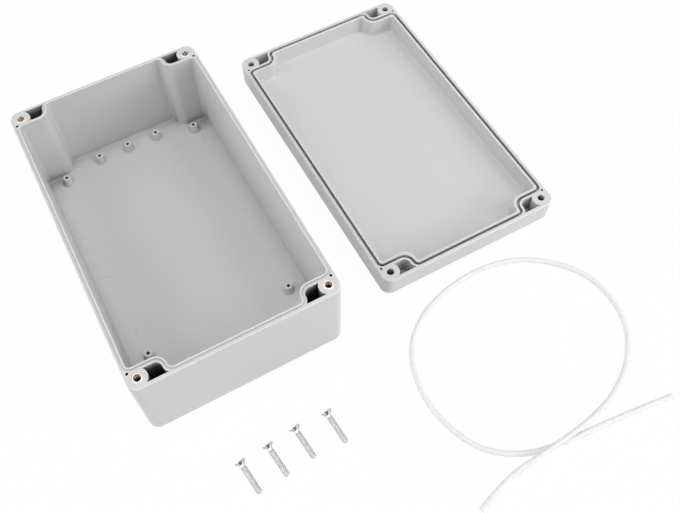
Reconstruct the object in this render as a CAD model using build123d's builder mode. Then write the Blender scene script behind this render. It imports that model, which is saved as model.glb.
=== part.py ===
from build123d import *
import math
import os

# Moulded screw-down junction box, opened out as it is laid on a table:
# the base, the cover lying beside it on its outer face, four cover screws
# and the loose sealing cord. Millimetres, +Z up, the origin is the middle
# of the base's underside, X runs across the box and Y along it.

# Outer size of the closed box
box_width = 120.0
box_length = 200.0
base_height = 59.0
cover_height = 16.0
corner_radius = 6.0
base_edge_radius = 2.0
cover_edge_radius = 1.5

# Base shell
floor_thickness = 3.0
floor_fillet = 1.5
rim_edge_chamfer = 0.3

# Sealing line, which the rib of the base and the groove of the cover share
seal_inset = 2.75
rib_thickness = 0.9
rib_height = 1.3
rib_edge_chamfer = 0.2
groove_width = 2.0
groove_depth = 3.4
inner_lip = 1.2

# Corner blocks, which keep the screws and wall fixings outside the seal
block_width = 22.0
block_length = 12.1
notch_radius = 3.0
shoulder_radius = 6.0
foot_radius = 3.0

# Wall-fixing pocket beside each screw boss
pocket_web = 2.2
pocket_wall = 1.8
pocket_floor = 3.0
mounting_hole = 4.5

# Cover
cover_skin = 3.0
recess_fillet = 2.0
recess_corner_spare = 0.2
cover_pocket_depth = 12.5
cover_screw_hole = 4.6
cover_head_clearance = 0.8
cover_head_depth = 3.5

# Screw bosses, threaded inserts and strap-pin holes
screw_inset = 6.25
boss_radius = 5.5
insert_diameter = 6.0
insert_length = 8.0
insert_clearance = 0.05
insert_bore = 3.0
insert_chamfer = 0.55
insert_edge = 0.3
insert_groove_depth = 0.35
insert_groove_width = 1.6
drill_relief = 1.5
strap_pin_hole = 1.7
strap_pin_depth = 8.0
strap_pin_side_inset = 2.5
strap_pin_end_inset = 10.6

# Circuit-board standoffs
standoff_height = 5.5
standoff_top_radius = 2.3
standoff_foot_radius = 3.4
standoff_foot_chamfer = 0.5
standoff_pilot = 2.1
standoff_pilot_depth = 5.0
board_side_inset = 15.0
board_back_inset = 19.0
board_front_inset = 41.0
row_pitch_x = 20.0
row_end_inset = 12.5

# Cover screw, M3.5 x 20 countersunk
screw_thread = 3.5
screw_length = 20.0
screw_head = 6.8
screw_head_rim = 0.4
screw_point_chamfer = 0.5
cross_width = 0.9
cross_span = 3.6
cross_depth = 1.7
cross_taper = 8.0

# Where the loose pieces lie beside the base
cover_x = 154.0
cover_y = 10.2
screw_lays = [
    (-25.5, -138.6, -83.0),
    (-8.4, -137.5, -83.5),
    (8.8, -135.8, -84.0),
    (28.3, -136.4, -85.0),
]

# Sealing cord
cord_diameter = 3.2
cord_lay = cord_diameter / 2
cord_hump = cord_lay + 2 * cord_diameter
bend_share = 0.45
cord_route = [
    (74.0, -220.8, cord_lay),
    (93.2, -213.6, cord_lay),
    (114.0, -212.6, cord_hump),
    (147.8, -210.2, cord_hump),
    (173.6, -203.6, cord_lay),
    (194.7, -190.2, cord_lay),
    (209.2, -169.0, cord_lay),
    (209.8, -139.5, cord_lay),
    (193.4, -116.8, cord_lay),
    (169.6, -103.2, cord_lay),
    (138.0, -101.3, cord_lay),
    (108.3, -109.4, cord_lay),
    (88.0, -126.0, cord_lay),
    (80.2, -150.0, cord_lay),
    (81.6, -173.0, cord_lay),
    (91.4, -195.1, cord_lay),
    (110.2, -207.8, cord_lay),
    (131.0, -212.2, cord_lay),
    (167.0, -214.9, cord_lay),
    (200.5, -219.2, cord_lay),
]

# Worked out from the sizes above
half_width = box_width / 2
half_length = box_length / 2
seal_x = half_width - seal_inset
seal_y = half_length - seal_inset
block_x = half_width - block_width
block_y = half_length - block_length
block_step = seal_y - block_y
shoulder = min(shoulder_radius, 0.65 * block_step)
foot = min(foot_radius, 0.33 * block_step)
screw_x = half_width - screw_inset
screw_y = half_length - screw_inset
mount_x = (block_x + pocket_web + screw_x - boss_radius) / 2
mount_y = (block_y + pocket_web + half_length - pocket_wall) / 2
pin_x = half_width - strap_pin_side_inset
pin_y = half_length - strap_pin_end_inset
screw_holes = [(sx * screw_x, sy * screw_y) for sx in (-1, 1) for sy in (-1, 1)]
pin_holes = [(sx * pin_x, sy * pin_y) for sx in (-1, 1) for sy in (-1, 1)]
mount_holes = [(sx * mount_x, sy * mount_y) for sx in (-1, 1) for sy in (-1, 1)]
board_x = half_width - board_side_inset
board_back_y = half_length - board_back_inset
board_front_y = board_front_inset - half_length
board_holes = [(sx * board_x, y) for sx in (-1, 1) for y in (board_front_y, board_back_y)]
row_holes = [
    (i * row_pitch_x, sy * (half_length - row_end_inset))
    for i in (-1, 0, 1)
    for sy in (-1, 1)
]
head_seat = screw_head / 2 + cover_head_clearance / 2
head_cone = head_seat - cover_screw_hole / 2
pocket_span_x = screw_x - block_x + foot + pocket_web
pocket_span_y = half_length - pocket_wall - block_y
pocket_middles = [
    (sx * (screw_x - pocket_span_x / 2), sy * (block_y + pocket_span_y / 2))
    for sx in (-1, 1)
    for sy in (-1, 1)
]
standoff_feet = [(x, y, floor_thickness) for x, y in board_holes + row_holes]
insert_waist = insert_diameter / 2 - insert_groove_depth
head_overhang = (screw_head - screw_thread) / 2
recess_corner = recess_fillet + recess_corner_spare


def above_cover(height):
    """Plane at this height over the middle of the cover as it lies."""
    return Plane(origin=(cover_x, cover_y, height))


def level_edges(edges, height):
    """Those edges that lie flat at this height."""
    return edges.filter_by_position(Axis.Z, height, height)


def sealed_area(inset, least_radius=0.0, mode=Mode.ADD):
    """Area inside the sealing line moved inwards by inset, on the open sketch."""
    x1 = seal_x - inset
    y1 = block_y - inset
    x2 = block_x - inset
    y2 = seal_y - inset
    notch = max(notch_radius - inset, least_radius)
    inner_foot = max(foot - inset, least_radius)
    bend = shoulder + foot - inner_foot
    with BuildLine() as outline:
        Line((x1, 0), (x1, y1 - notch))
        CenterArc((x1 - notch, y1 - notch), notch, 0, 90)
        Line((x1 - notch, y1), (x2 + bend, y1))
        CenterArc((x2 + bend, y1 + bend), bend, 180, 90)
        Line((x2, y1 + bend), (x2, y2 - inner_foot))
        CenterArc((x2 - inner_foot, y2 - inner_foot), inner_foot, 0, 90)
        Line((x2 - inner_foot, y2), (0, y2))
        mirror(about=Plane.YZ)
        mirror(about=Plane.XZ)
    make_face(outline.edges(), mode=mode)


def pocket_area():
    """The four wall-fixing pockets, between boss, outer wall and sealed area."""
    with Locations(*pocket_middles):
        Rectangle(pocket_span_x, pocket_span_y)
    sealed_area(-pocket_web, mode=Mode.SUBTRACT)
    with Locations(*screw_holes):
        Circle(boss_radius, mode=Mode.SUBTRACT)


# Base: outer body, cavity, sealing rib
with BuildPart() as enclosure_base:
    with BuildSketch():
        RectangleRounded(box_width, box_length, corner_radius)
    extrude(amount=base_height)
    fillet(level_edges(enclosure_base.edges(), 0), radius=base_edge_radius)
    chamfer(level_edges(enclosure_base.edges(), base_height), length=rim_edge_chamfer)
    with BuildSketch(Plane.XY.offset(floor_thickness)):
        sealed_area(rib_thickness / 2)
    extrude(amount=base_height, mode=Mode.SUBTRACT)
    fillet(level_edges(enclosure_base.edges(), floor_thickness), radius=floor_fillet)
    with BuildSketch(Plane.XY.offset(base_height)):
        sealed_area(-rib_thickness / 2)
        sealed_area(rib_thickness / 2, mode=Mode.SUBTRACT)
    extrude(amount=rib_height)
    chamfer(level_edges(enclosure_base.edges(), base_height + rib_height), length=rib_edge_chamfer)

    # Wall-fixing pockets and their holes
    with BuildSketch(Plane.XY.offset(pocket_floor)):
        pocket_area()
    extrude(amount=base_height, mode=Mode.SUBTRACT)
    with BuildSketch():
        with Locations(*mount_holes):
            Circle(mounting_hole / 2)
    extrude(amount=base_height, mode=Mode.SUBTRACT)

    # Holes for the threaded inserts and the strap pins
    with BuildSketch(Plane.XY.offset(base_height)):
        with Locations(*screw_holes):
            Circle(insert_diameter / 2 + insert_clearance)
    extrude(amount=-insert_length, mode=Mode.SUBTRACT)
    with BuildSketch(Plane.XY.offset(base_height)):
        with Locations(*screw_holes):
            Circle(insert_bore / 2)
    extrude(amount=-insert_length - drill_relief, mode=Mode.SUBTRACT)
    with BuildSketch(Plane.XY.offset(base_height)):
        with Locations(*pin_holes):
            Circle(strap_pin_hole / 2)
    extrude(amount=-strap_pin_depth, mode=Mode.SUBTRACT)

    # Standoffs for circuit boards
    with Locations(*standoff_feet):
        Cone(
            standoff_foot_radius,
            standoff_top_radius,
            standoff_height,
            align=(Align.CENTER, Align.CENTER, Align.MIN),
        )
    feet = level_edges(enclosure_base.edges(), floor_thickness).filter_by(GeomType.CIRCLE)
    feet = feet.filter_by(lambda edge: math.isclose(edge.radius, standoff_foot_radius))
    chamfer(feet, length=standoff_foot_chamfer)
    with BuildSketch(Plane.XY.offset(floor_thickness + standoff_height)):
        with Locations(*board_holes, *row_holes):
            Circle(standoff_pilot / 2)
    extrude(amount=-standoff_pilot_depth, mode=Mode.SUBTRACT)


# Cover, upside down beside the base: its outer face is on the ground
with BuildPart() as cover:
    with BuildSketch(above_cover(0)):
        RectangleRounded(box_width, box_length, corner_radius)
    extrude(amount=cover_height)
    fillet(level_edges(cover.edges(), 0), radius=cover_edge_radius)
    chamfer(level_edges(cover.edges(), cover_height), length=rim_edge_chamfer)
    with BuildSketch(above_cover(cover_skin)):
        sealed_area(groove_width / 2 + inner_lip, least_radius=recess_corner)
    extrude(amount=cover_height, mode=Mode.SUBTRACT)
    fillet(level_edges(cover.edges(), cover_skin), radius=recess_fillet)
    with BuildSketch(above_cover(cover_height)):
        sealed_area(-groove_width / 2)
        sealed_area(groove_width / 2, mode=Mode.SUBTRACT)
    extrude(amount=-groove_depth, mode=Mode.SUBTRACT)
    with BuildSketch(above_cover(cover_height - cover_pocket_depth)):
        pocket_area()
    extrude(amount=cover_height, mode=Mode.SUBTRACT)

    # Countersunk screw holes, sunk from the outer face, and strap-pin holes
    with BuildSketch(above_cover(0)):
        with Locations(*screw_holes):
            Circle(cover_screw_hole / 2)
    extrude(amount=cover_height, mode=Mode.SUBTRACT)
    with BuildSketch(above_cover(0)):
        with Locations(*screw_holes):
            Circle(head_seat)
    extrude(amount=cover_head_depth - head_cone, mode=Mode.SUBTRACT)
    with Locations(above_cover(cover_head_depth - head_cone)):
        with Locations(*screw_holes):
            Cone(
                head_seat,
                cover_screw_hole / 2,
                head_cone,
                align=(Align.CENTER, Align.CENTER, Align.MIN),
                mode=Mode.SUBTRACT,
            )
    with BuildSketch(above_cover(cover_height)):
        with Locations(*pin_holes):
            Circle(strap_pin_hole / 2)
    extrude(amount=-strap_pin_depth, mode=Mode.SUBTRACT)


# Threaded insert, turned about Z with its top at the origin
with BuildPart() as threaded_insert:
    with BuildSketch(Plane.XZ):
        with BuildLine():
            Polyline(
                (insert_bore / 2 + insert_chamfer, 0),
                (insert_diameter / 2 - insert_edge, 0),
                (insert_diameter / 2, -insert_edge),
                (insert_diameter / 2, -insert_length / 2 + insert_groove_width / 2),
                (insert_waist, -insert_length / 2 + insert_groove_width / 2),
                (insert_waist, -insert_length / 2 - insert_groove_width / 2),
                (insert_diameter / 2, -insert_length / 2 - insert_groove_width / 2),
                (insert_diameter / 2, -insert_length + insert_edge),
                (insert_diameter / 2 - insert_edge, -insert_length),
                (insert_bore / 2 + insert_chamfer, -insert_length),
                (insert_bore / 2, -insert_length + insert_chamfer),
                (insert_bore / 2, -insert_chamfer),
                close=True,
            )
        make_face()
    revolve(axis=Axis.Z)


# Cover screw, turned about Z with its head at the origin and its tip upwards
with BuildPart() as cover_screw:
    with BuildSketch(Plane.XZ):
        with BuildLine():
            Polyline(
                (0, 0),
                (screw_head / 2, 0),
                (screw_head / 2, screw_head_rim),
                (screw_thread / 2, screw_head_rim + head_overhang),
                (screw_thread / 2, screw_length - screw_point_chamfer),
                (screw_thread / 2 - screw_point_chamfer, screw_length),
                (0, screw_length),
                close=True,
            )
        make_face()
    revolve(axis=Axis.Z)
    with BuildSketch():
        Rectangle(cross_span, cross_width)
        Rectangle(cross_width, cross_span)
    extrude(amount=cross_depth, taper=cross_taper, mode=Mode.SUBTRACT)


def lying_screw(x, y, heading):
    """Place of a screw that rests on its head and its tip, head at (x, y)."""
    tilt = math.atan2(head_overhang, screw_length - screw_point_chamfer - screw_head_rim)
    height = screw_head_rim * math.sin(tilt) + screw_head / 2 * math.cos(tilt)
    turn = math.radians(heading)
    along = (math.cos(turn) * math.cos(tilt), math.sin(turn) * math.cos(tilt), -math.sin(tilt))
    across = (-math.sin(turn), math.cos(turn), 0)
    return Plane(origin=(x, y, height), x_dir=across, z_dir=along).location


def bend_radii(points):
    """Largest bends that leave a tenth of the shorter run straight, inner points."""
    radii = []
    for before, here, after in zip(points, points[1:], points[2:]):
        run_in = Vector(*here) - Vector(*before)
        run_out = Vector(*after) - Vector(*here)
        half_turn = math.radians(run_in.get_angle(run_out) / 2)
        radii.append(bend_share * min(run_in.length, run_out.length) / math.tan(half_turn))
    return radii


# Sealing cord, loose on the ground and once over itself
cord_radii = bend_radii(cord_route)
with BuildPart() as sealing_cord:
    with BuildLine() as cord_path:
        FilletPolyline(*cord_route, radius=cord_radii)
    with BuildSketch(Plane(origin=cord_path.line @ 0, z_dir=cord_path.line % 0)):
        Circle(cord_diameter / 2)
    sweep()
cord_length = cord_path.wires()[0].length
cord_section = math.pi * (cord_diameter / 2) ** 2
print("cord radii", [round(radius, 1) for radius in cord_radii])
print("cord length", round(cord_length, 1))
print("cord volume over section times length", sealing_cord.part.volume / (cord_section * cord_length))


# Write each subcomponent to its own file
os.makedirs("parts", exist_ok=True)
pieces = {
    "enclosure_base": enclosure_base.part,
    "cover": cover.part,
    "sealing_cord": sealing_cord.part,
}
for number, (x, y) in enumerate(screw_holes, start=1):
    pieces[f"threaded_insert_{number}"] = threaded_insert.part.moved(Location((x, y, base_height)))
for number, lay in enumerate(screw_lays, start=1):
    pieces[f"cover_screw_{number}"] = cover_screw.part.moved(lying_screw(*lay))
for name, piece in pieces.items():
    piece.label = name
    export_step(piece, f"parts/{name}.step")
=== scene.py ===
import logging
import math
from dataclasses import dataclass, field
from enum import Enum

import bmesh
import bpy
from mathutils import Matrix, Vector


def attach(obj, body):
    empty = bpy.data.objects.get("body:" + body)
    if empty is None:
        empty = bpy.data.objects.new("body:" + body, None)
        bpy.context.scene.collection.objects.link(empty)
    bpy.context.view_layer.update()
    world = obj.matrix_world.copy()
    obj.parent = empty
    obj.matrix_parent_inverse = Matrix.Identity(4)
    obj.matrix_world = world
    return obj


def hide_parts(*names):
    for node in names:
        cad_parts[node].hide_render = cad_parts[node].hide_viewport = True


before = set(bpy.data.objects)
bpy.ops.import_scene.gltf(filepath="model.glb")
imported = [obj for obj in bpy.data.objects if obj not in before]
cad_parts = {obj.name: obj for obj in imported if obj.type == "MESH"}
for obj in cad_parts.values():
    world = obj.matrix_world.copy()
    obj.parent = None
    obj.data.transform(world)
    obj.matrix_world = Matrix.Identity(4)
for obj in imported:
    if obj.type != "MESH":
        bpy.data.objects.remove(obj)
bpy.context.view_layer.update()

log = logging.getLogger("junction_box")

MM = 0.001
SHARP_DEGREES = 35
# Corners of a turned or wound shape that lie closer than these, in metres, are one corner.
TURNED_MERGE = 1e-7
WOUND_MERGE = 1e-6
# Where most values of a noise texture lie.
NOISE_LOW, NOISE_HIGH = 0.3, 0.7
# Numbers of a Mix node's colour sockets: it has inputs and an output for each type.
MIX_FIRST, MIX_SECOND, MIX_RESULT = 6, 7, 2


class Body(Enum):
    """The rigid bodies that pieces ride on."""

    ROOT = "root"


class Slot(Enum):
    """The record's material slots."""

    BASE = "moulded_body"
    COVER = "moulded_cover"
    CORD = "sealing_cord"
    INSERT = "insert"
    SCREW = "screw"


def to_linear(colour: str) -> tuple[float, float, float, float]:
    """Turn an sRGB hex colour into the linear colour that shaders take.

    Args:
        colour: Six hex digits after a hash sign.

    Returns:
        Linear red, green and blue, and an alpha of 1.
    """
    parts = []
    for start in (1, 3, 5):
        value = int(colour[start:start + 2], 16) / 255
        parts.append(value / 12.92 if value <= 0.04045 else ((value + 0.055) / 1.055) ** 2.4)
    return (parts[0], parts[1], parts[2], 1.0)


def add_node(tree: bpy.types.NodeTree, kind: str, settings: dict | None = None,
             links: dict | None = None) -> bpy.types.Node:
    """Add one node with its settings and its incoming links.

    Args:
        tree: The node tree that gets the node.
        kind: The node's type, such as ShaderNodeMath.
        settings: Attribute or input names and their values; an input may be given by its number.
        links: Input names or numbers and the sockets that feed them.

    Returns:
        The new node.
    """
    node = tree.nodes.new(kind)
    for name, value in (settings or {}).items():
        if isinstance(name, str) and hasattr(node, name):
            setattr(node, name, value)
        else:
            node.inputs[name].default_value = value
    for name, socket in (links or {}).items():
        tree.links.new(socket, node.inputs[name])
    return node


def new_material(name: str) -> tuple[bpy.types.Material, bpy.types.NodeTree]:
    """Make an empty node material.

    Args:
        name: The material's name.

    Returns:
        The material and its cleared node tree.
    """
    material = bpy.data.materials.new(name)
    material.use_nodes = True
    material.node_tree.nodes.clear()
    return material, material.node_tree


def seen_white(tree: bpy.types.NodeTree) -> bpy.types.NodeSocket:
    """Tell the rays that see the white background: the eye's, a mirror's and a clear body's.

    Args:
        tree: The node tree that asks.

    Returns:
        A socket that is 1 for such a ray and 0 for any other.
    """
    path = add_node(tree, "ShaderNodeLightPath")
    mirrored = add_node(tree, "ShaderNodeMath", {"operation": "ADD", "use_clamp": True},
                        {0: path.outputs["Is Camera Ray"], 1: path.outputs["Is Glossy Ray"]})
    cleared = add_node(tree, "ShaderNodeMath", {"operation": "ADD", "use_clamp": True},
                       {0: mirrored.outputs["Value"], 1: path.outputs["Is Transmission Ray"]})
    return cleared.outputs["Value"]


def dress(piece: bpy.types.Object, *materials: bpy.types.Material) -> None:
    """Give a piece its materials in place of those it has.

    Args:
        piece: The piece.
        materials: Its new materials, in the order of its faces' material numbers.
    """
    if piece.data.materials:
        piece.data.materials.clear()
    for material in materials:
        piece.data.materials.append(material)


def finish_mesh(name: str, shape: bmesh.types.BMesh, smooth: bool = True) -> bpy.types.Object:
    """Turn a finished bmesh into a linked object at the origin.

    Args:
        name: The piece's name.
        shape: The shape, in metres; it is freed here.
        smooth: Whether faces are shaded smooth, apart from sharp edges.

    Returns:
        The new object.
    """
    bmesh.ops.recalc_face_normals(shape, faces=shape.faces)
    mesh = bpy.data.meshes.new(name)
    shape.to_mesh(mesh)
    shape.free()
    if smooth:
        mesh.shade_smooth()
        mesh.set_sharp_from_angle(angle=math.radians(SHARP_DEGREES))
    piece = bpy.data.objects.new(name, mesh)
    bpy.context.scene.collection.objects.link(piece)
    return piece


def spin_profile(shape: bmesh.types.BMesh, points: list[tuple[float, float]], steps: int) -> None:
    """Turn a radius and height profile a full turn about Z.

    Args:
        shape: The bmesh that gets the turned surface.
        points: Radius and height of each corner, in millimetres.
        steps: Number of steps round the turn.
    """
    corners = [shape.verts.new((radius * MM, 0, height * MM)) for radius, height in points]
    edges = [shape.edges.new(pair) for pair in zip(corners, corners[1:])]
    bmesh.ops.spin(shape, geom=corners + edges, axis=(0, 0, 1), cent=(0, 0, 0), dvec=(0, 0, 0),
                   angle=math.tau, steps=steps, use_merge=True, use_duplicate=False)
    bmesh.ops.remove_doubles(shape, verts=shape.verts, dist=TURNED_MERGE)


def spin_thread(shape: bmesh.types.BMesh, root: float, crest: float, pitch: float, start: float,
                end: float, steps: int) -> None:
    """Wind one thread turn after turn about Z and cut it level at both ends.

    Args:
        shape: The bmesh that gets the thread's surface.
        root: Radius at the thread's root, in millimetres.
        crest: Radius at its crest.
        pitch: Height of one turn.
        start: Height where the thread begins.
        end: Height where it ends.
        steps: Number of steps in one turn.
    """
    turns = math.ceil((end - start) / pitch) + 2
    # Each corner's radius and its height as a share of one turn: flank, narrow crest, flank.
    profile = [(root, 0.0), (root, 0.125), (crest, 0.45), (crest, 0.55), (root, 0.875), (root, 1.0)]
    corners = [shape.verts.new((radius * MM, 0, (start + (part - 1) * pitch) * MM))
               for radius, part in profile]
    edges = [shape.edges.new(pair) for pair in zip(corners, corners[1:])]
    bmesh.ops.spin(shape, geom=corners + edges, axis=(0, 0, 1), cent=(0, 0, 0),
                   dvec=(0, 0, pitch / steps * MM), angle=math.tau * turns, steps=steps * turns,
                   use_merge=False, use_duplicate=False)
    bmesh.ops.remove_doubles(shape, verts=shape.verts, dist=WOUND_MERGE)
    for height, normal in ((start, -1), (end, 1)):
        bmesh.ops.bisect_plane(shape, geom=shape.verts[:] + shape.edges[:] + shape.faces[:],
                               plane_co=(0, 0, height * MM), plane_no=(0, 0, normal),
                               clear_outer=True, dist=TURNED_MERGE)


def close_level(shape: bmesh.types.BMesh, height: float, join: bool) -> None:
    """Close the open edges that lie level at one height.

    Args:
        shape: The bmesh that is open there.
        height: The height of the open edges, in millimetres.
        join: True joins two rings with a band, False fills one ring.
    """
    rim = [edge for edge in shape.edges if edge.is_boundary
           and all(abs(corner.co.z - height * MM) < WOUND_MERGE for corner in edge.verts)]
    if join:
        bmesh.ops.bridge_loops(shape, edges=rim)
    else:
        bmesh.ops.holes_fill(shape, edges=rim, sides=0)


@dataclass(frozen=True)
class FloorMark:
    """A faint mark on the moulded floor: a short stroke between two points, in millimetres."""

    start: tuple[float, float]
    end: tuple[float, float]
    width: float = 1.0
    depth: float = 0.05
    level: float = 3.0


@dataclass(frozen=True)
class MouldedPlastic:
    """ABS, injection moulded in light grey.

    A polished and lightly spark-eroded mould leaves a satin skin, and the melt leaves cloudy
    flow marks. Painted shade darkens the colour in nooks, seams and inward fillets, and a painted
    highlight lightens outer edges, by as much as the photograph shows.
    """

    name: str = "moulded_abs_light_grey"
    colour: str = "#CDCDCD"
    clouded: str = "#C9C9C9"
    roughness: float = 0.46
    smoother: float = 0.03
    rougher: float = 0.04
    # Flow marks are a few centimetres wide.
    cloud_mm: float = 45.0
    # The mould's grit is a few hundredths of a millimetre, too fine to show, so it is drawn at half
    # a millimetre.
    grit_mm: float = 0.5
    grit_height_mm: float = 0.02
    grit_strength: float = 0.12
    # Painted shade: a nook's colour darkens with walls this near, down to this tone, where its
    # openness is under nook_end.
    nook_mm: float = 9.0
    nook_shade: float = 0.05
    nook_end: float = 0.62
    # A seam is a narrow gap, such as the one along the sealing rib; painted shade darkens it.
    seam_mm: float = 2.0
    seam_shade: float = 0.7
    seam_span: tuple[float, float] = (0.4, 0.95)
    # Painted shade: a fillet that turns inwards is darker by this share. Openness tells inwards
    # from outwards.
    fillet_shade: float = 0.18
    outward_span: tuple[float, float] = (0.75, 0.95)
    # Painted highlight: an outer edge is lighter by this share, where the rounded normal leaves the
    # face's own.
    edge_mm: float = 0.5
    edge_gain: float = 0.8
    edge_span: tuple[float, float] = (0.98, 0.85)
    marks: tuple[FloorMark, ...] = ()

    def stroke(self, tree: bpy.types.NodeTree, place: bpy.types.NodeSocket,
               mark: FloorMark) -> bpy.types.NodeSocket:
        """Shade one stroke: its depth on the line, nothing away from it.

        Args:
            tree: The material's node tree.
            place: Object coordinates, in metres.
            mark: The stroke.

        Returns:
            The socket that holds the stroke's strength.
        """
        start = Vector((*mark.start, mark.level)) * MM
        run = Vector((*mark.end, mark.level)) * MM - start
        offset = add_node(tree, "ShaderNodeVectorMath", {"operation": "SUBTRACT", 1: start}, {0: place})
        along = add_node(tree, "ShaderNodeVectorMath",
                         {"operation": "DOT_PRODUCT", 1: run / run.length_squared},
                         {0: offset.outputs["Vector"]})
        held = add_node(tree, "ShaderNodeClamp", {}, {"Value": along.outputs["Value"]})
        foot = add_node(tree, "ShaderNodeVectorMath", {"operation": "SCALE", 0: run},
                        {"Scale": held.outputs["Result"]})
        away = add_node(tree, "ShaderNodeVectorMath", {"operation": "DISTANCE"},
                        {0: offset.outputs["Vector"], 1: foot.outputs["Vector"]})
        shade = add_node(tree, "ShaderNodeMapRange",
                         {"interpolation_type": "SMOOTHSTEP", "From Min": 0.0,
                          "From Max": mark.width * MM, "To Min": mark.depth, "To Max": 0.0},
                         {"Value": away.outputs["Value"]})
        return shade.outputs["Result"]

    def tone(self, tree: bpy.types.NodeTree) -> bpy.types.NodeSocket:
        """Work out the painted shade of nooks, seams and fillets, and the painted highlight of outer
        edges.

        Args:
            tree: The material's node tree.

        Returns:
            The socket that holds the factor for the colour.
        """
        # Painted shade in nooks: the colour darkens where the piece's own walls close in.
        nook = add_node(tree, "ShaderNodeAmbientOcclusion",
                        {"samples": 8, "only_local": True, "Distance": self.nook_mm * MM})
        nook_painted_shade = add_node(tree, "ShaderNodeMapRange",
                        {"interpolation_type": "SMOOTHSTEP", "From Min": 0.0, "From Max": self.nook_end,
                         "To Min": self.nook_shade, "To Max": 1.0}, {"Value": nook.outputs["AO"]})
        outward = add_node(tree, "ShaderNodeMapRange",
                           {"From Min": self.outward_span[0], "From Max": self.outward_span[1]},
                           {"Value": nook.outputs["AO"]})
        # Painted shade on fillets that turn inwards.
        # A fillet's slope is 0 on floors and walls, and a quarter halfway between them.
        surface = add_node(tree, "ShaderNodeNewGeometry")
        rise = add_node(tree, "ShaderNodeSeparateXYZ", {}, {0: surface.outputs["Normal"]})
        level = add_node(tree, "ShaderNodeMath", {"operation": "MULTIPLY"},
                         {0: rise.outputs["Z"], 1: rise.outputs["Z"]})
        upright = add_node(tree, "ShaderNodeMath", {"operation": "SUBTRACT", 0: 1.0},
                           {1: level.outputs["Value"]})
        slope = add_node(tree, "ShaderNodeMath", {"operation": "MULTIPLY"},
                         {0: level.outputs["Value"], 1: upright.outputs["Value"]})
        inward = add_node(tree, "ShaderNodeMath", {"operation": "SUBTRACT", 0: 1.0},
                          {1: outward.outputs["Result"]})
        turned_in = add_node(tree, "ShaderNodeMath", {"operation": "MULTIPLY"},
                             {0: slope.outputs["Value"], 1: inward.outputs["Value"]})
        fillet = add_node(tree, "ShaderNodeMath",
                          {"operation": "MULTIPLY_ADD", 1: -4 * self.fillet_shade, 2: 1.0},
                          {0: turned_in.outputs["Value"]})
        # Painted highlight: outer edges lighten where the rounded normal turns away.
        rounded = add_node(tree, "ShaderNodeBevel", {"samples": 6, "Radius": self.edge_mm * MM})
        agreed = add_node(tree, "ShaderNodeVectorMath", {"operation": "DOT_PRODUCT"},
                          {0: surface.outputs["True Normal"], 1: rounded.outputs["Normal"]})
        edge = add_node(tree, "ShaderNodeMapRange",
                        {"From Min": self.edge_span[0], "From Max": self.edge_span[1],
                         "To Min": 0.0, "To Max": self.edge_gain}, {"Value": agreed.outputs["Value"]})
        bright = add_node(tree, "ShaderNodeMath", {"operation": "MULTIPLY_ADD", 2: 1.0},
                          {0: outward.outputs["Result"], 1: edge.outputs["Result"]})
        # Painted shade along seams, where walls close in within seam_mm.
        seam = add_node(tree, "ShaderNodeAmbientOcclusion",
                        {"samples": 6, "only_local": True, "Distance": self.seam_mm * MM})
        seam_painted_shade = add_node(tree, "ShaderNodeMapRange",
                         {"interpolation_type": "SMOOTHSTEP", "From Min": self.seam_span[0],
                          "From Max": self.seam_span[1], "To Min": self.seam_shade, "To Max": 1.0},
                         {"Value": seam.outputs["AO"]})
        creased = add_node(tree, "ShaderNodeMath", {"operation": "MULTIPLY"},
                           {0: seam_painted_shade.outputs["Result"], 1: fillet.outputs["Value"]})
        shaded = add_node(tree, "ShaderNodeMath", {"operation": "MULTIPLY"},
                          {0: nook_painted_shade.outputs["Result"], 1: creased.outputs["Value"]})
        tone = add_node(tree, "ShaderNodeMath", {"operation": "MULTIPLY"},
                        {0: shaded.outputs["Value"], 1: bright.outputs["Value"]})
        return tone.outputs["Value"]

    def build(self) -> bpy.types.Material:
        """Build the plastic's material.

        Returns:
            The material.
        """
        material, tree = new_material(self.name)
        place = add_node(tree, "ShaderNodeTexCoord").outputs["Object"]
        clouds = add_node(tree, "ShaderNodeTexNoise",
                          {"Scale": 1000 / self.cloud_mm, "Detail": 2.0, "Roughness": 0.45},
                          {"Vector": place})
        skin = add_node(tree, "ShaderNodeMix",
                        {"data_type": "RGBA", MIX_FIRST: to_linear(self.colour),
                         MIX_SECOND: to_linear(self.clouded)}, {0: clouds.outputs["Fac"]})
        colour = skin.outputs[MIX_RESULT]
        for mark in self.marks:
            keep = add_node(tree, "ShaderNodeMath", {"operation": "SUBTRACT", 0: 1.0},
                            {1: self.stroke(tree, place, mark)})
            marked = add_node(tree, "ShaderNodeHueSaturation", {},
                              {"Color": colour, "Value": keep.outputs["Value"]})
            colour = marked.outputs["Color"]
        # The painted shade and painted highlight scale the colour.
        toned = add_node(tree, "ShaderNodeVectorMath", {"operation": "SCALE"},
                         {0: colour, "Scale": self.tone(tree)})
        grit = add_node(tree, "ShaderNodeTexNoise",
                        {"Scale": 1000 / self.grit_mm, "Detail": 1.0, "Roughness": 0.5},
                        {"Vector": place})
        rough = add_node(tree, "ShaderNodeMapRange",
                         {"From Min": NOISE_LOW, "From Max": NOISE_HIGH,
                          "To Min": self.roughness - self.smoother,
                          "To Max": self.roughness + self.rougher},
                         {"Value": clouds.outputs["Fac"]})
        relief = add_node(tree, "ShaderNodeBump",
                          {"Strength": self.grit_strength, "Distance": self.grit_height_mm * MM},
                          {"Height": grit.outputs["Fac"]})
        shader = add_node(tree, "ShaderNodeBsdfPrincipled", {"IOR": 1.53},
                          {"Base Color": toned.outputs["Vector"], "Roughness": rough.outputs["Result"],
                           "Normal": relief.outputs["Normal"]})
        add_node(tree, "ShaderNodeOutputMaterial", {}, {"Surface": shader.outputs["BSDF"]})
        return material


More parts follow.
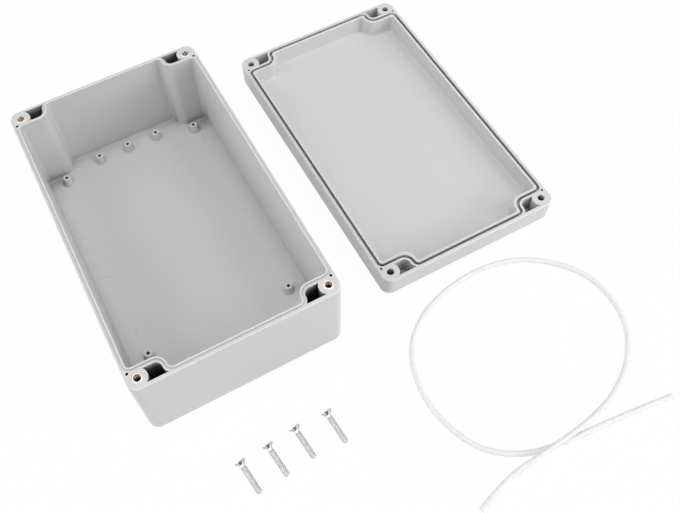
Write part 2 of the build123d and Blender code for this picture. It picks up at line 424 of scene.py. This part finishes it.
@dataclass(frozen=True)
class PlatedSteel:
    """Steel, cold-headed and thread-rolled, then bright nickel plated.

    The plating gives a bright metal with a faint mottle. The head is smooth and mirrors the
    studio, and the rolled thread is duller.
    """

    name: str = "nickel_plated_steel"
    colour: str = "#CDCDCD"
    shaded: str = "#C5C5C5"
    roughness: float = 0.5
    smoother: float = 0.06
    rougher: float = 0.08
    # The mottle of the plating is finer than this, and is drawn as coarse as it needs to show.
    grain_mm: float = 1.2
    grain_height_mm: float = 0.01
    grain_strength: float = 0.1

    def build(self) -> bpy.types.Material:
        """Build the plated metal's material.

        Returns:
            The material.
        """
        material, tree = new_material(self.name)
        place = add_node(tree, "ShaderNodeTexCoord").outputs["Object"]
        grain = add_node(tree, "ShaderNodeTexNoise",
                         {"Scale": 1000 / self.grain_mm, "Detail": 2.0, "Roughness": 0.6},
                         {"Vector": place})
        skin = add_node(tree, "ShaderNodeMix",
                        {"data_type": "RGBA", MIX_FIRST: to_linear(self.colour),
                         MIX_SECOND: to_linear(self.shaded)}, {0: grain.outputs["Fac"]})
        rough = add_node(tree, "ShaderNodeMapRange",
                         {"From Min": NOISE_LOW, "From Max": NOISE_HIGH,
                          "To Min": self.roughness - self.smoother,
                          "To Max": self.roughness + self.rougher},
                         {"Value": grain.outputs["Fac"]})
        relief = add_node(tree, "ShaderNodeBump",
                          {"Strength": self.grain_strength, "Distance": self.grain_height_mm * MM},
                          {"Height": grain.outputs["Fac"]})
        shader = add_node(tree, "ShaderNodeBsdfPrincipled", {"Metallic": 1.0},
                          {"Base Color": skin.outputs[MIX_RESULT], "Roughness": rough.outputs["Result"],
                           "Normal": relief.outputs["Normal"]})
        add_node(tree, "ShaderNodeOutputMaterial", {}, {"Surface": shader.outputs["BSDF"]})
        return material


@dataclass(frozen=True)
class TurnedBrass:
    """Brass, turned from bar.

    The faced end is bright and nearly white under the lamps. The tapped bore gets a darker
    brown copy of the brass, which is painted shade of the deep bore.
    """

    name: str = "faced_brass"
    colour: str = "#E6DED5"
    dark: str = "#CDBDA8"
    roughness: float = 0.32
    smoother: float = 0.05
    rougher: float = 0.1
    # Stains are about a millimetre across, and the strongest take half of the dark colour.
    stain_mm: float = 10 / 9
    stain_span: tuple[float, float] = (0.55, 0.8)
    stain_share: float = 0.5

    def build(self) -> bpy.types.Material:
        """Build the brass's material.

        Returns:
            The material.
        """
        material, tree = new_material(self.name)
        place = add_node(tree, "ShaderNodeTexCoord").outputs["Object"]
        stains = add_node(tree, "ShaderNodeTexNoise",
                          {"Scale": 1000 / self.stain_mm, "Detail": 3.0, "Roughness": 0.6},
                          {"Vector": place})
        share = add_node(tree, "ShaderNodeMapRange",
                         {"From Min": self.stain_span[0], "From Max": self.stain_span[1], "To Min": 0.0,
                          "To Max": self.stain_share}, {"Value": stains.outputs["Fac"]})
        skin = add_node(tree, "ShaderNodeMix",
                        {"data_type": "RGBA", MIX_FIRST: to_linear(self.colour),
                         MIX_SECOND: to_linear(self.dark)}, {0: share.outputs["Result"]})
        rough = add_node(tree, "ShaderNodeMapRange",
                         {"From Min": NOISE_LOW, "From Max": NOISE_HIGH,
                          "To Min": self.roughness - self.smoother,
                          "To Max": self.roughness + self.rougher},
                         {"Value": stains.outputs["Fac"]})
        shader = add_node(tree, "ShaderNodeBsdfPrincipled", {"Metallic": 1.0},
                          {"Base Color": skin.outputs[MIX_RESULT], "Roughness": rough.outputs["Result"]})
        add_node(tree, "ShaderNodeOutputMaterial", {}, {"Surface": shader.outputs["BSDF"]})
        return material


@dataclass(frozen=True)
class SiliconeCord:
    """Silicone rubber, extruded and cured.

    It is milky and lets a little light in under its skin, and the skin is soft and matt.
    """

    name: str = "extruded_silicone"
    colour: str = "#E7E7E7"
    milky: str = "#E2E2E2"
    roughness: float = 0.6
    smoother: float = 0.05
    rougher: float = 0.06
    # Cloudy stretches are about a centimetre long.
    cloud_mm: float = 12.0
    # Light spreads about a millimetre under the skin.
    milkiness: float = 0.3
    spread_mm: float = 1.0

    def build(self) -> bpy.types.Material:
        """Build the silicone's material.

        Returns:
            The material.
        """
        material, tree = new_material(self.name)
        place = add_node(tree, "ShaderNodeTexCoord").outputs["Object"]
        clouds = add_node(tree, "ShaderNodeTexNoise",
                          {"Scale": 1000 / self.cloud_mm, "Detail": 2.0, "Roughness": 0.5},
                          {"Vector": place})
        skin = add_node(tree, "ShaderNodeMix",
                        {"data_type": "RGBA", MIX_FIRST: to_linear(self.colour),
                         MIX_SECOND: to_linear(self.milky)}, {0: clouds.outputs["Fac"]})
        rough = add_node(tree, "ShaderNodeMapRange",
                         {"From Min": NOISE_LOW, "From Max": NOISE_HIGH,
                          "To Min": self.roughness - self.smoother,
                          "To Max": self.roughness + self.rougher},
                         {"Value": clouds.outputs["Fac"]})
        shader = add_node(tree, "ShaderNodeBsdfPrincipled",
                          {"IOR": 1.41, "Subsurface Weight": self.milkiness,
                           "Subsurface Radius": (1.0, 1.0, 1.0), "Subsurface Scale": self.spread_mm * MM,
                           "Sheen Weight": 0.25, "Sheen Roughness": 0.5},
                          {"Base Color": skin.outputs[MIX_RESULT], "Roughness": rough.outputs["Result"]})
        add_node(tree, "ShaderNodeOutputMaterial", {}, {"Surface": shader.outputs["BSDF"]})
        return material


@dataclass(frozen=True)
class TableTop:
    """White studio table, matt laminate.

    The eye and every mirror see it nearly plain white where it lies open, as the photograph
    shows it, with a trace of the pieces' soft shadows. Lamps still light it, so it throws light
    back up, and it is dark down a narrow hole.
    """

    name: str = "white_table"
    colour: str = "#E8E8E8"
    whiteness: float = 0.96
    # How near a piece has to be to shut the table in, and the openness from dark to white.
    reach_mm: float = 12.0
    shut_in: float = 0.04
    open_air: float = 0.2

    def build(self) -> bpy.types.Material:
        """Build the table's material.

        Returns:
            The material.
        """
        material, tree = new_material(self.name)
        diffuse = add_node(tree, "ShaderNodeBsdfDiffuse", {"Color": to_linear(self.colour)})
        glow = add_node(tree, "ShaderNodeEmission", {"Color": (1, 1, 1, 1), "Strength": 1.0})
        air = add_node(tree, "ShaderNodeAmbientOcclusion", {"samples": 8, "Distance": self.reach_mm * MM})
        share = add_node(tree, "ShaderNodeMapRange",
                         {"interpolation_type": "SMOOTHSTEP", "From Min": self.shut_in,
                          "From Max": self.open_air, "To Min": 0.0, "To Max": self.whiteness},
                         {"Value": air.outputs["AO"]})
        glowing = add_node(tree, "ShaderNodeMath", {"operation": "MULTIPLY"},
                           {0: seen_white(tree), 1: share.outputs["Result"]})
        mixed = add_node(tree, "ShaderNodeMixShader", {}, {0: glowing.outputs["Value"],
                                                          1: diffuse.outputs["BSDF"],
                                                          2: glow.outputs["Emission"]})
        add_node(tree, "ShaderNodeOutputMaterial", {}, {"Surface": mixed.outputs["Shader"]})
        return material


@dataclass(frozen=True)
class Softbox:
    """One soft lamp, aimed at the middle of the pieces.

    The heading is 0 in front of the box and 90 at its right, in degrees, as the height is.
    The power is in watts, and the size and the distance are in metres.
    """

    name: str
    heading: float
    height: float
    power: float
    size: float = 0.7
    distance: float = 1.7

    def hang(self, aim: Vector) -> bpy.types.Object:
        """Hang the lamp.

        Args:
            aim: The point that it is turned to, in metres.

        Returns:
            The lamp's object.
        """
        data = bpy.data.lights.new(self.name, "AREA")
        data.shape = "SQUARE"
        data.size = self.size
        data.energy = self.power
        lamp = bpy.data.objects.new(self.name, data)
        turn, rise = math.radians(self.heading), math.radians(self.height)
        way = Vector((math.sin(turn) * math.cos(rise), -math.cos(turn) * math.cos(rise), math.sin(rise)))
        lamp.location = aim + way * self.distance
        lamp.rotation_euler = way.to_track_quat("Z", "Y").to_euler()
        bpy.context.scene.collection.objects.link(lamp)
        return lamp


@dataclass(frozen=True)
class BlackCard:
    """A black card in front of the pieces, which only bright metal shows; in metres."""

    name: str = "black_card"
    distance: float = 1.3
    aside: float = 0.15
    lift: float = 0.001
    width: float = 1.3
    height: float = 0.4
    colour: str = "#101010"

    def stand(self, aim: Vector) -> bpy.types.Object:
        """Stand the card in front of the pieces, where no camera or lamp sees it.

        Args:
            aim: The point that it faces, in metres.

        Returns:
            The card's object.
        """
        shape = bmesh.new()
        corners = bmesh.ops.create_grid(shape, x_segments=1, y_segments=1, size=0.5)["verts"]
        bmesh.ops.scale(shape, verts=corners, vec=(self.width, self.height, 1))
        bmesh.ops.rotate(shape, verts=corners, cent=(0, 0, 0),
                         matrix=Matrix.Rotation(math.radians(90), 3, "X"))
        bmesh.ops.translate(shape, verts=corners,
                            vec=(aim.x - self.aside, aim.y - self.distance, self.height / 2 + self.lift))
        card = finish_mesh(self.name, shape, smooth=False)
        material, tree = new_material("black_felt")
        felt = add_node(tree, "ShaderNodeBsdfDiffuse", {"Color": to_linear(self.colour)})
        add_node(tree, "ShaderNodeOutputMaterial", {}, {"Surface": felt.outputs["BSDF"]})
        dress(card, material)
        card.visible_camera = False
        card.visible_diffuse = False
        card.visible_shadow = False
        return card


@dataclass
class Studio:
    """Camera, lamps, white surroundings and table.

    The camera's values were fitted to the outlines in the photograph, its angles in radians.
    The lamps' powers were matched to the photograph's levels.
    """

    eye_mm: tuple[float, float, float] = (-36.10, -265.18, 424.57)
    yaw: float = 0.4367
    pitch: float = 1.0506
    roll: float = -0.0597
    lens: float = 41.992
    shift: tuple[float, float] = (0.0443, 0.00376)
    aim: tuple[float, float, float] = (0.08, -0.03, 0.0)
    surroundings: float = 0.31
    table_size: float = 6.0
    lamps: tuple[Softbox, ...] = (
        Softbox("left_low_softbox", 270, 20, 8.5),
        Softbox("left_high_softbox", 270, 50, 4.2),
        Softbox("back_left_softbox", 225, 20, 2.2),
        Softbox("right_low_softbox", 45, 20, 11.1),
        Softbox("right_high_softbox", 45, 50, 5.3),
        Softbox("back_softbox", 135, 50, 1.4),
        Softbox("front_softbox", 0, 20, 1.8),
        Softbox("overhead_softbox", 0, 90, 6.9),
    )

    def camera(self) -> bpy.types.Object:
        """Stand the camera where the photograph was taken.

        Returns:
            The camera object.
        """
        ahead = Vector((math.sin(self.yaw) * math.cos(self.pitch),
                        math.cos(self.yaw) * math.cos(self.pitch), -math.sin(self.pitch)))
        right = Vector((math.cos(self.yaw), -math.sin(self.yaw), 0))
        up = right.cross(ahead)
        side = right * math.cos(self.roll) + up * math.sin(self.roll)
        top = up * math.cos(self.roll) - right * math.sin(self.roll)
        data = bpy.data.cameras.new("camera")
        data.lens = self.lens
        data.sensor_width = 36.0
        data.sensor_fit = "HORIZONTAL"
        data.shift_x, data.shift_y = self.shift
        data.clip_start = 0.01
        data.clip_end = 50.0
        data.dof.use_dof = False
        eye = bpy.data.objects.new("camera", data)
        turn = Matrix((side, top, -ahead)).transposed().to_4x4()
        eye.matrix_world = Matrix.Translation(Vector(self.eye_mm) * MM) @ turn
        bpy.context.scene.collection.objects.link(eye)
        bpy.context.scene.camera = eye
        return eye

    def light(self) -> None:
        """Hang the lamps and set the white surroundings."""
        for lamp in self.lamps:
            lamp.hang(Vector(self.aim))
        BlackCard().stand(Vector(self.aim))
        world = bpy.data.worlds.new("studio")
        world.use_nodes = True
        tree = world.node_tree
        tree.nodes.clear()
        soft = add_node(tree, "ShaderNodeBackground",
                        {"Color": (1, 1, 1, 1), "Strength": self.surroundings})
        white = add_node(tree, "ShaderNodeBackground", {"Color": (1, 1, 1, 1), "Strength": 1.0})
        mixed = add_node(tree, "ShaderNodeMixShader", {}, {0: seen_white(tree),
                                                          1: soft.outputs["Background"],
                                                          2: white.outputs["Background"]})
        add_node(tree, "ShaderNodeOutputWorld", {}, {"Surface": mixed.outputs["Shader"]})
        bpy.context.scene.world = world

    def table(self) -> bpy.types.Object:
        """Lay the white table under the pieces.

        Returns:
            The table's object.
        """
        shape = bmesh.new()
        bmesh.ops.create_grid(shape, x_segments=1, y_segments=1, size=self.table_size / 2)
        top = finish_mesh("table", shape, smooth=False)
        dress(top, TableTop().build())
        return top

    def view(self) -> None:
        """Show colours plainly, as they are written."""
        bpy.context.scene.view_settings.view_transform = "Standard"


@dataclass
class SealingCord:
    """The loose sealing cord, lying on the table and once over itself."""

    diameter: float = 3.2
    length: float = 506.0
    route: list[tuple[float, float, float]] = field(default_factory=lambda: [
        (74.0, -220.8, 1.6),
        (93.2, -213.6, 1.6),
        (114.0, -212.6, 5.4),
        (147.8, -210.2, 5.4),
        (173.6, -203.6, 1.6),
        (194.7, -190.2, 1.6),
        (209.2, -169.0, 1.6),
        (209.8, -139.5, 1.6),
        (193.4, -116.8, 1.6),
        (169.6, -103.2, 1.6),
        (138.0, -101.3, 1.6),
        (108.3, -109.4, 1.6),
        (88.0, -126.0, 1.6),
        (80.2, -150.0, 1.6),
        (81.6, -173.0, 1.6),
        (91.4, -195.1, 1.6),
        (110.2, -207.8, 1.6),
        (131.0, -212.2, 1.6),
        (167.0, -214.9, 1.6),
        (200.5, -219.2, 1.6),
    ])

    def build(self) -> bpy.types.Object:
        """Lay the cord along its route.

        Returns:
            The cord's curve object.
        """
        curve = bpy.data.curves.new("sealing_cord_silicone", "CURVE")
        curve.dimensions = "3D"
        curve.bevel_depth = self.diameter / 2 * MM
        curve.bevel_resolution = 8
        curve.resolution_u = 16
        curve.use_fill_caps = True
        line = curve.splines.new("NURBS")
        line.points.add(len(self.route) - 1)
        for point, place in zip(line.points, self.route):
            point.co = (*(Vector(place) * MM), 1.0)
        line.order_u = 3
        line.use_endpoint_u = True
        cord = bpy.data.objects.new("sealing_cord_silicone", curve)
        bpy.context.scene.collection.objects.link(cord)
        dress(cord, SiliconeCord().build())
        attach(cord, Body.ROOT.value)
        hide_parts("sealing_cord")
        log.info("sealing cord: %d points", len(self.route))
        return cord


@dataclass
class Enclosure:
    """The two moulded halves, which keep their CAD shapes.

    The base is deep, so the painted shade of its nooks reaches further. The cover is a shade
    lighter and its groove has no painted seam shade of its own.
    """

    base_nook_mm: float = 14.0
    marks: tuple[FloorMark, ...] = (
        FloorMark((-51.5, 5.0), (-45.5, 1.0), 0.9, 0.10),
        FloorMark((-45.0, -38.0), (-46.6, -40.6), 1.0, 0.07),
        FloorMark((-46.6, -40.6), (-47.0, -43.5), 1.0, 0.07),
        FloorMark((46.0, 68.0), (48.0, 74.0), 1.6, 0.05),
    )

    def build(self) -> None:
        """Dress both halves in moulded plastic."""
        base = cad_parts["enclosure_base"]
        dress(base, MouldedPlastic(name="moulded_abs_base", marks=self.marks,
                                   nook_mm=self.base_nook_mm).build())
        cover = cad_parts["cover"]
        dress(cover, MouldedPlastic(name="moulded_abs_cover", colour="#D1D1D1", clouded="#CDCDCD",
                                    nook_end=0.3, seam_shade=1.0).build())
        log.info("enclosure: base and cover dressed")


@dataclass
class ThreadedInserts:
    """Four turned inserts with a real thread in the bore and a groove round the middle."""

    outer: float = 3.0
    waist: float = 2.65
    bore: float = 1.5
    root: float = 1.72
    top: float = 59.0
    length: float = 8.0
    groove: float = 1.6
    edge: float = 0.3
    mouth: float = 0.55
    # How far the thread runs on into the mouth's chamfer.
    runout: float = 0.1
    # Room between the thread's cut end and the profile, for a band that joins them.
    relief: float = 0.05
    pitch: float = 0.6
    steps: int = 40
    places: tuple[tuple[float, float], ...] = (
        (-53.75, -93.75), (-53.75, 93.75), (53.75, -93.75), (53.75, 93.75))

    def shape(self) -> bmesh.types.BMesh:
        """Turn one insert about Z with its top at the origin.

        Returns:
            The insert's bmesh, in metres.
        """
        shape = bmesh.new()
        upper = -self.length / 2 + self.groove / 2
        lower = -self.length / 2 - self.groove / 2
        low = -self.length + self.mouth - self.runout
        high = -self.mouth + self.runout
        outside = [
            (self.root + self.relief, high), (self.bore + self.mouth, 0.0), (self.outer - self.edge, 0.0),
            (self.outer, -self.edge), (self.outer, upper), (self.waist, upper), (self.waist, lower),
            (self.outer, lower), (self.outer, -self.length + self.edge),
            (self.outer - self.edge, -self.length), (self.bore + self.mouth, -self.length),
            (self.root + self.relief, low),
        ]
        spin_thread(shape, self.root, self.bore, self.pitch, low, high, self.steps)
        spin_profile(shape, outside, self.steps)
        close_level(shape, low, join=True)
        close_level(shape, high, join=True)
        return shape

    def build(self) -> None:
        """Set an insert in each corner boss."""
        faced = TurnedBrass().build()
        # The bore's darker copy of the brass is painted shade of the deep hole.
        tapped = TurnedBrass(name="tapped_brass_painted_shade", colour="#85756A", dark="#4F4136",
                             roughness=0.26).build()
        for number, (x, y) in enumerate(self.places, start=1):
            shape = self.shape()
            # The bore and the mouth's chamfer take the painted-shade brass.
            for face in shape.faces:
                middle = face.calc_center_median()
                face.material_index = int(math.hypot(middle.x, middle.y) < (self.bore + self.mouth) * MM)
            bmesh.ops.translate(shape, verts=shape.verts, vec=Vector((x, y, self.top)) * MM)
            insert = finish_mesh(f"brass_insert_{number}", shape)
            dress(insert, faced, tapped)
            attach(insert, Body.ROOT.value)
            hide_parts(f"threaded_insert_{number}")
            log.info("threaded insert %d", number)


@dataclass
class CoverScrews:
    """Four countersunk screws with rolled threads and a cross recess, lying on the table."""

    head: float = 3.4
    rim: float = 0.4
    thread: float = 1.75
    root: float = 1.38
    length: float = 20.0
    point: float = 0.5
    # The head's broken edge, and the height of the taper from the seat down to the root.
    edge: float = 0.1
    throat: float = 0.5
    # Room between the thread's cut end and the point, for a band that joins them.
    relief: float = 0.05
    pitch: float = 0.6
    # The bare neck under the seat, and how far the thread's own shell runs back into it.
    neck: float = 2.6
    overlap: float = 1.0
    cross_width: float = 0.9
    cross_span: float = 3.6
    cross_depth: float = 1.7
    cross_taper: tuple[float, float] = (0.7, 0.6)
    steps: int = 32
    lays: tuple[tuple[float, float, float], ...] = (
        (-25.5, -138.6, -83.0), (-8.4, -137.5, -83.5), (8.8, -135.8, -84.0), (28.3, -136.4, -85.0))

    def lying(self, x: float, y: float, heading: float) -> Matrix:
        """Place of a screw that rests on its head and its tip.

        Args:
            x: Middle of the head's top, across the box, in millimetres.
            y: The same along the box.
            heading: Direction from head to tip, in degrees.

        Returns:
            The matrix from the upright screw to the lying one, in metres.
        """
        overhang = self.head - self.thread
        tilt = math.atan2(overhang, self.length - self.point - self.rim)
        height = self.rim * math.sin(tilt) + self.head * math.cos(tilt)
        turn = math.radians(heading)
        along = Vector((math.cos(turn) * math.cos(tilt), math.sin(turn) * math.cos(tilt),
                        -math.sin(tilt)))
        across = Vector((-math.sin(turn), math.cos(turn), 0))
        third = along.cross(across)
        turned = Matrix((across, third, along)).transposed().to_4x4()
        return Matrix.Translation(Vector((x, y, height)) * MM) @ turned

    def recess(self) -> bpy.types.Object:
        """Tapered cross that the driver's recess is cut with.

        Returns:
            The cutter's object.
        """
        shape = bmesh.new()
        for turn in (0, 90):
            corners = bmesh.ops.create_cube(shape, size=1.0)["verts"]
            bmesh.ops.scale(shape, verts=corners,
                            vec=Vector((self.cross_span, self.cross_width, self.cross_depth * 2)) * MM)
            deep = [corner for corner in corners if corner.co.z > 0]
            bmesh.ops.scale(shape, verts=deep, vec=(*self.cross_taper, 1.0))
            bmesh.ops.rotate(shape, verts=corners, cent=(0, 0, 0),
                             matrix=Matrix.Rotation(math.radians(turn), 3, "Z"))
        return finish_mesh("recess_cutter", shape, smooth=False)

    def blank(self) -> bmesh.types.BMesh:
        """Turn the head and the neck as one closed shape.

        Returns:
            The bmesh, upright with the head's top at the origin and the neck upwards.
        """
        shape = bmesh.new()
        seat = self.rim + self.head - self.thread
        spin_profile(shape, [(0, 0), (self.head - self.edge, 0), (self.head, self.edge),
                             (self.head, self.rim), (self.thread, seat), (self.root, seat + self.throat),
                             (self.root, seat + self.neck), (0, seat + self.neck)], self.steps)
        return shape

    def shank(self) -> bmesh.types.BMesh:
        """Wind the rolled thread and close it with the point.

        Returns:
            The bmesh, in the head's place.
        """
        shape = bmesh.new()
        start = self.rim + self.head - self.thread + self.neck - self.overlap
        end = self.length - self.point
        spin_thread(shape, self.root, self.thread, self.pitch, start, end, self.steps)
        close_level(shape, start, join=False)
        spin_profile(shape, [(self.root - self.relief, end), (self.root - self.point, self.length),
                             (0, self.length)], self.steps)
        close_level(shape, end, join=True)
        return shape

    def build(self) -> None:
        """Lay the four screws in their row."""
        headed = PlatedSteel(name="nickel_plated_head", roughness=0.24).build()
        threaded = PlatedSteel(name="nickel_plated_thread").build()
        head = finish_mesh("screw_head", self.blank())
        cutter = self.recess()
        cut = head.modifiers.new("cross_recess", "BOOLEAN")
        cut.operation = "DIFFERENCE"
        cut.object = cutter
        cut.solver = "EXACT"
        cut.use_self = True
        bpy.context.view_layer.update()
        graph = bpy.context.evaluated_depsgraph_get()
        cut_head = bpy.data.meshes.new_from_object(head.evaluated_get(graph))
        shape = self.shank()
        for face in shape.faces:
            face.material_index = 1
        shape.from_mesh(cut_head)
        upright = finish_mesh("screw_blank", shape)
        finished = upright.data
        for number, lay in enumerate(self.lays, start=1):
            mesh = finished.copy()
            mesh.name = f"plated_screw_{number}"
            mesh.transform(self.lying(*lay))
            screw = bpy.data.objects.new(f"plated_screw_{number}", mesh)
            bpy.context.scene.collection.objects.link(screw)
            dress(screw, headed, threaded)
            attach(screw, Body.ROOT.value)
            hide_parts(f"cover_screw_{number}")
            log.info("cover screw %d", number)
        for scrap in (head, cutter, upright):
            bpy.data.objects.remove(scrap)


def main() -> None:
    """Build the studio and every piece, and report each."""
    logging.basicConfig(level=logging.INFO, format="%(name)s: %(message)s")
    studio = Studio()
    studio.camera()
    SealingCord().build()
    Enclosure().build()
    ThreadedInserts().build()
    CoverScrews().build()
    studio.table()
    studio.light()
    studio.view()


if __name__ == "__main__":
    main()
